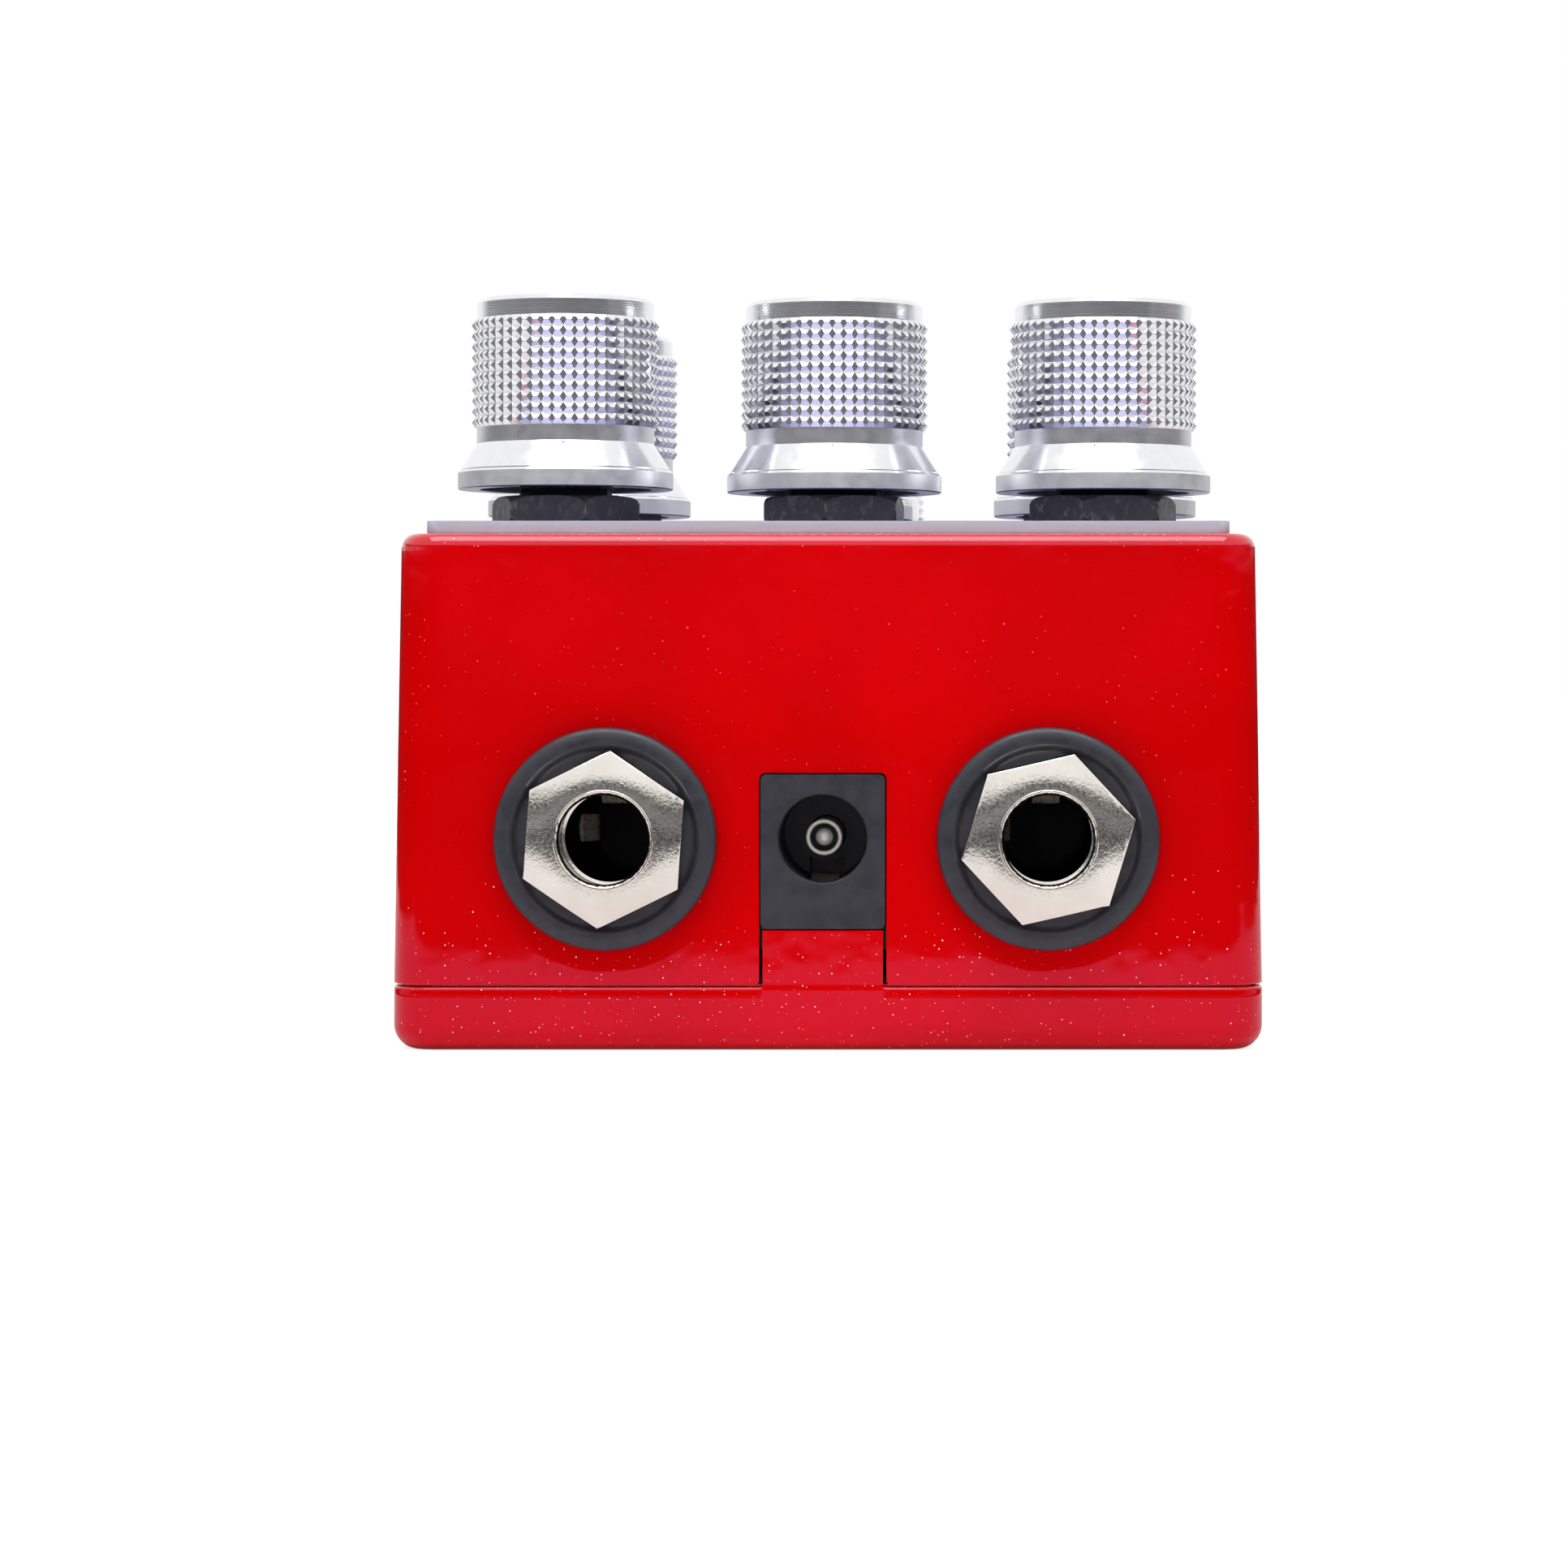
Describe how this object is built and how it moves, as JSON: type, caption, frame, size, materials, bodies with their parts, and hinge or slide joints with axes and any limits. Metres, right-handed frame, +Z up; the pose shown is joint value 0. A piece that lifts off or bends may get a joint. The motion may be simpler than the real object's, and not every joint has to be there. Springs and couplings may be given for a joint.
{
  "type": "guitar effects pedal",
  "caption": "Compact guitar effects pedal: glossy red die-cast box with a face plate, knurled aluminium knobs, a footswitch, a status lamp, quarter-inch jacks and a power inlet.",
  "frame": {"origin": "centre of the bottom cover's flat underside, which the pedal rests on", "axes": "+Z up, -Y out of the jack wall, +Y towards the footswitch end, +X to the right seen from the jack wall"},
  "size_m": [0.0626, 0.1145, 0.0552],
  "materials": {
    "red_paint": "gloss clear coat over deep red with fine sparkle",
    "brushed_plate": "brushed, faintly lilac",
    "turned_aluminium": "turned and knurled, bright",
    "black_oxide": "black oxide, scuffed",
    "nickel_plate": "nickel plated brass, bright",
    "slate_plastic": "matte slate grey",
    "black_plastic": "matte black",
    "zinc_steel": "zinc plated",
    "spring_nickel": "nickel plated spring metal",
    "chrome_plate": "polished",
    "board_green": "solder mask green",
    "lamp_red": "tinted epoxy, unlit",
    "ribbon_grey": "ribbon lead insulation"
  },
  "bodies": {
    "pedal": {"enclosure_body": "red_paint", "bottom_cover": "red_paint", "face_plate": "brushed_plate", "cover_screw_1": "zinc_steel", "cover_screw_2": "zinc_steel", "cover_screw_3": "zinc_steel", "cover_screw_4": "zinc_steel", "input_jack_housing": "black_plastic", "input_jack_sleeve": "nickel_plate", "input_jack_nut": "nickel_plate", "input_jack_washer": "slate_plastic", "input_jack_sleeve_contact": "spring_nickel", "input_jack_tip_contact": "spring_nickel", "output_jack_housing": "black_plastic", "output_jack_sleeve": "nickel_plate", "output_jack_nut": "nickel_plate", "output_jack_washer": "slate_plastic", "output_jack_sleeve_contact": "spring_nickel", "output_jack_tip_contact": "spring_nickel", "dc_jack_housing": "slate_plastic", "dc_jack_pin": "nickel_plate", "dc_jack_contact": "spring_nickel", "pot_1_body": "zinc_steel", "pot_1_nut": "black_oxide", "pot_2_body": "zinc_steel", "pot_2_nut": "black_oxide", "pot_3_body": "zinc_steel", "pot_3_nut": "black_oxide", "pot_4_body": "zinc_steel", "pot_4_nut": "black_oxide", "pot_5_body": "zinc_steel", "pot_5_nut": "black_oxide", "led_bezel": "chrome_plate", "led_bezel_nut": "zinc_steel", "led_lamp": "lamp_red", "footswitch_body": "black_plastic", "footswitch_bushing": "chrome_plate", "footswitch_nut": "chrome_plate", "footswitch_washer": "chrome_plate", "main_board": "board_green", "jack_board": "board_green", "switch_board": "board_green", "jack_ribbon": "ribbon_grey", "switch_ribbon": "ribbon_grey"},
    "knob_1": {"knob_1": "turned_aluminium", "pot_1_shaft": "zinc_steel", "set_screw_1": "black_oxide"},
    "knob_2": {"knob_2": "turned_aluminium", "pot_2_shaft": "zinc_steel", "set_screw_2": "black_oxide"},
    "knob_3": {"knob_3": "turned_aluminium", "pot_3_shaft": "zinc_steel", "set_screw_3": "black_oxide"},
    "knob_4": {"knob_4": "turned_aluminium", "pot_4_shaft": "zinc_steel", "set_screw_4": "black_oxide"},
    "knob_5": {"knob_5": "turned_aluminium", "pot_5_shaft": "zinc_steel", "set_screw_5": "black_oxide"},
    "footswitch": {"footswitch_plunger": "chrome_plate"}
  },
  "joints": [
    {"name": "knob_1_turn", "type": "hinge", "parent": "pedal", "child": "knob_1", "pos_m": [-0.0203, -0.0385, 0.045], "axis": [0, 0, -1], "range_deg": [-146.2, 153.8]},
    {"name": "knob_2_turn", "type": "hinge", "parent": "pedal", "child": "knob_2", "pos_m": [0, -0.0385, 0.045], "axis": [0, 0, -1], "range_deg": [-149.5, 150.5]},
    {"name": "knob_3_turn", "type": "hinge", "parent": "pedal", "child": "knob_3", "pos_m": [0.0203, -0.0385, 0.045], "axis": [0, 0, -1], "range_deg": [-157.2, 142.8]},
    {"name": "knob_4_turn", "type": "hinge", "parent": "pedal", "child": "knob_4", "pos_m": [-0.0203, -0.0182, 0.045], "axis": [0, 0, -1], "range_deg": [-150, 150]},
    {"name": "knob_5_turn", "type": "hinge", "parent": "pedal", "child": "knob_5", "pos_m": [0.0203, -0.0182, 0.045], "axis": [0, 0, -1], "range_deg": [-150, 150]},
    {"name": "footswitch_press", "type": "slide", "parent": "pedal", "child": "footswitch", "axis": [0, 0, -1], "range_m": [0, 0.0025], "stiffness_N_per_m": 2500, "springref_m": -0.002}
  ]
}
